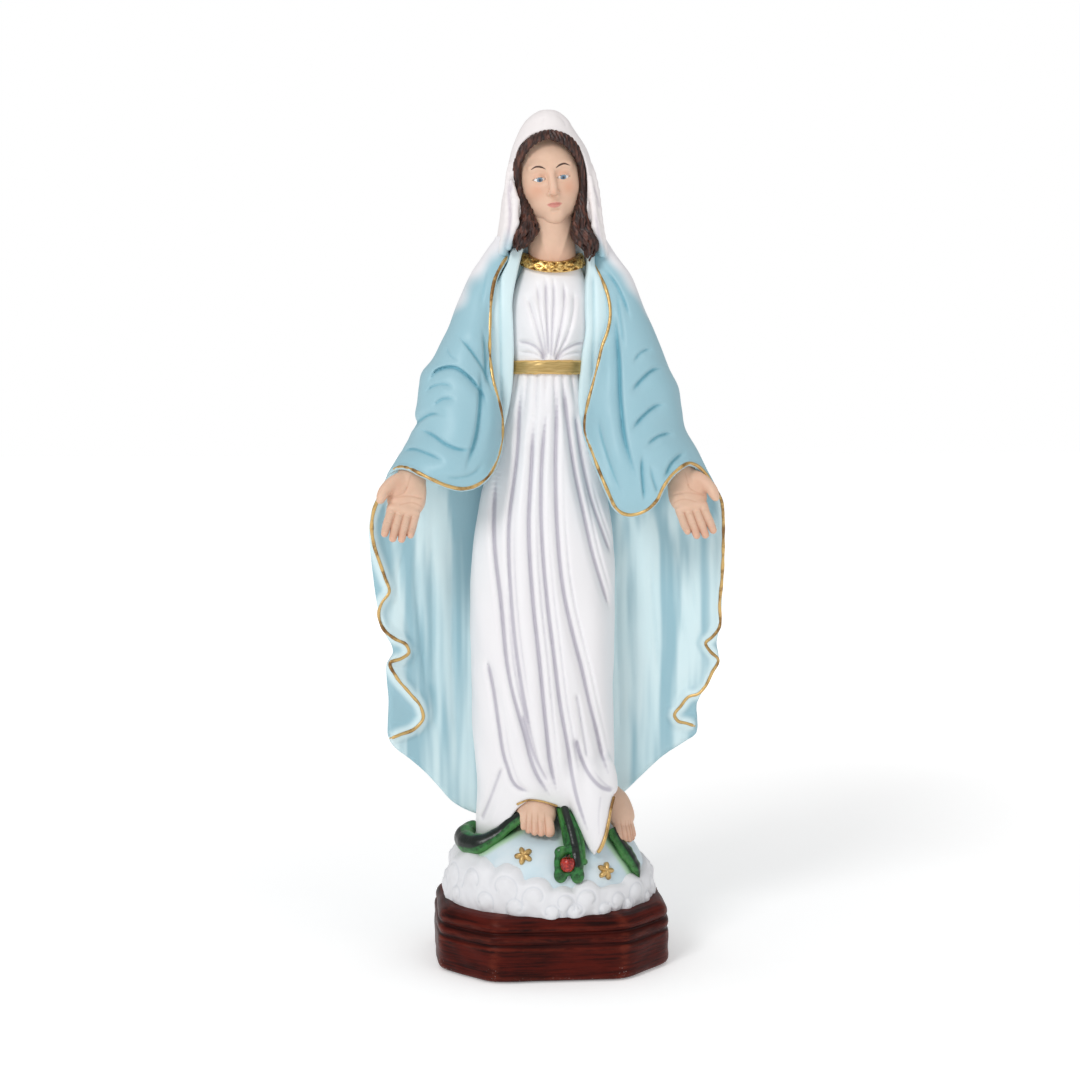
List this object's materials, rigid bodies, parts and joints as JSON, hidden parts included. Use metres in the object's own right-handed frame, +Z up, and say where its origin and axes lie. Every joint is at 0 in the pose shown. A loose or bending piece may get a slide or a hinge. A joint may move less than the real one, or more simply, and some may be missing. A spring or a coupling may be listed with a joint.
{
  "type": "madonna statue",
  "caption": "Standing robed madonna figure with open lowered hands, veil and blue mantle, on a clouded globe with a serpent, over a moulded octagonal plinth.",
  "frame": {"origin": "centre of the plinth's underside, on the surface that the statue stands on", "axes": "+Z up, the figure faces -Y, +X towards the figure's left hand"},
  "size_m": [0.1624, 0.098, 0.4],
  "materials": {
    "plinth_wood_paint": "satin dark red-brown paint, brushed to look like wood, on cast resin",
    "felt": "green felt",
    "globe_paint": "pale blue-white satin paint on cast resin",
    "cloud_paint": "white satin paint on cast resin",
    "serpent_paint": "dark green paint with lighter green edges",
    "apple_paint": "red gloss paint",
    "gold_paint": "brushed-on gold bronze paint",
    "sash_paint": "ochre gold paint",
    "skin_paint": "soft satin skin-coloured paint with pink shading",
    "robe_paint": "white satin paint on cast resin",
    "mantle_paint": "light blue satin paint, airbrushed to white at the shoulders",
    "hair_paint": "dark brown paint",
    "veil_paint": "white satin paint",
    "eye_glaze": "gloss painted eye",
    "dowel_steel": "plain bar"
  },
  "bodies": {
    "root": {"plinth": "plinth_wood_paint", "felt_pad": "felt", "globe": "globe_paint", "cloud_ring": "cloud_paint", "serpent_body": "serpent_paint", "serpent_head": "serpent_paint", "serpent_tail": "serpent_paint", "apple": "apple_paint", "star_right": "gold_paint", "star_left": "gold_paint", "foot_right": "skin_paint", "foot_left": "skin_paint", "robe_skirt": "robe_paint", "robe_bodice": "robe_paint", "sash": "sash_paint", "collar": "gold_paint", "mantle_back": "mantle_paint", "mantle_right": "mantle_paint", "mantle_left": "mantle_paint", "hand_right": "skin_paint", "hand_left": "skin_paint", "head": "skin_paint", "hair_cap": "hair_paint", "hair_lock_right": "hair_paint", "hair_lock_left": "hair_paint", "veil": "veil_paint", "eye_right": "eye_glaze", "eye_left": "eye_glaze", "core_dowel": "dowel_steel"}
  },
  "joints": []
}
